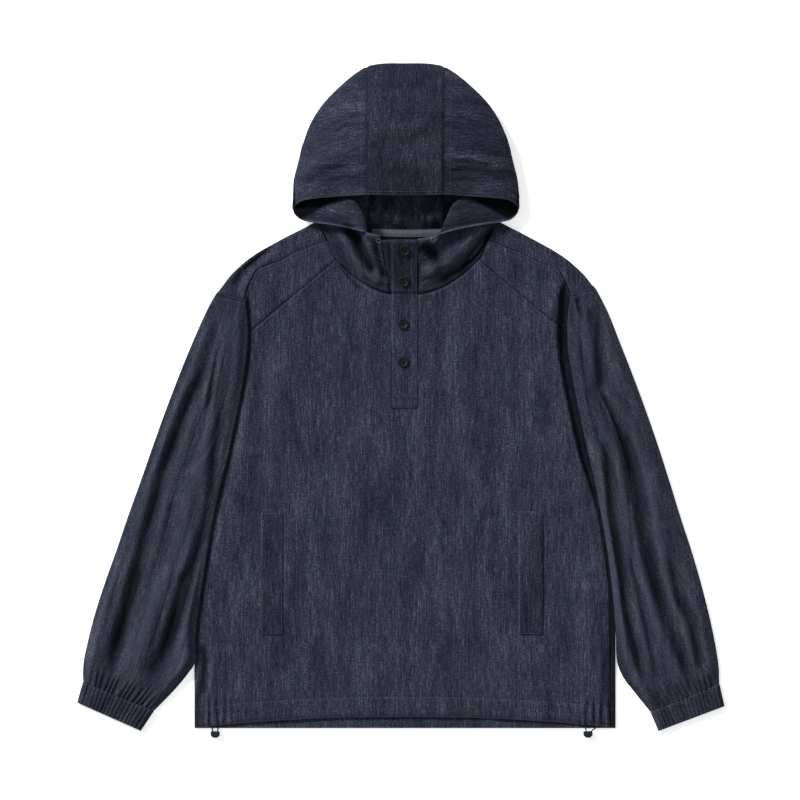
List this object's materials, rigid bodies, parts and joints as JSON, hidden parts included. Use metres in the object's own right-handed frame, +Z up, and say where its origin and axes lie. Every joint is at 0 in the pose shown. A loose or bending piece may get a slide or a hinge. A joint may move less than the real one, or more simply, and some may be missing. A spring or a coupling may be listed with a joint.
{
  "type": "anorak pullover",
  "caption": "Hooded half-placket pullover in slub denim, laid flat, with welt pockets, ribbed cuffs and hem drawcords.",
  "frame": {"origin": "middle of the garment's footprint, on the surface that it lies on, without the hem cords", "axes": "+Z up out of the surface through the front, +Y from hem to hood, +X to the wearer's left sleeve, on the right in the picture"},
  "size_m": [0.925, 0.9674, 0.0531],
  "materials": {
    "denim": "dark indigo slub denim, unwashed, matt",
    "hood_denim": "the same denim, cut across the grain at the hood's sides",
    "rib": "elastic shirred denim cuff, matt",
    "tape": "light grey twill tape",
    "cord": "dark braided elastic cord",
    "button": "dark four-hole button, semi-matt",
    "cord_lock": "black moulded plastic",
    "eyelet": "light metal eyelet"
  },
  "bodies": {
    "root": {"back_panel": "denim", "front_panel": "denim", "front_yoke_left": "denim", "front_yoke_right": "denim", "sleeve_left": "denim", "sleeve_right": "denim", "cuff_left": "rib", "cuff_right": "rib", "welt_left": "denim", "welt_right": "denim", "hood_left": "hood_denim", "hood_right": "hood_denim", "hood_centre": "hood_denim", "placket_over": "denim", "placket_under": "denim", "neck_tape": "tape", "button_1": "button", "button_2": "button", "button_3": "button", "button_4": "button", "eyelet_left": "eyelet", "eyelet_right": "eyelet", "hem_cord_left": "cord", "hem_cord_right": "cord", "cord_lock_left": "cord_lock", "cord_lock_right": "cord_lock"}
  },
  "joints": []
}
